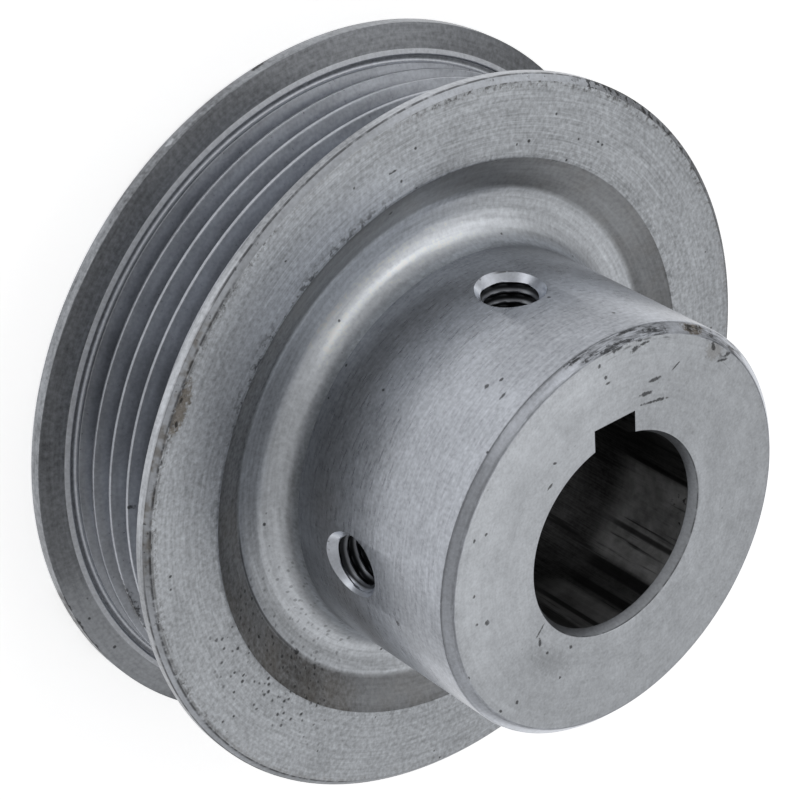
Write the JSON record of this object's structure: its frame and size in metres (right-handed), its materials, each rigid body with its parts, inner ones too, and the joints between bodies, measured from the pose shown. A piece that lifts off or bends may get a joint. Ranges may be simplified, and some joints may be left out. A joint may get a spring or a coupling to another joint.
{
  "type": "belt pulley",
  "caption": "One-piece steel belt pulley with five PK ribbed-belt grooves between flanges, a 1 inch keyed bore and two 5/16-18 set-screw holes in its hub.",
  "frame": {"origin": "centre of the bore, at the flat rear face of the rim", "axes": "+Z along the bore, from the rim's rear face to the hub's free end. +X through the keyway and the set-screw hole above it. +Y through the second set-screw hole."},
  "size_m": [0.0952, 0.0952, 0.0528],
  "materials": {
    "steel": "turned, satin, slightly stained"
  },
  "bodies": {
    "root": {"pulley": "steel"}
  },
  "joints": []
}
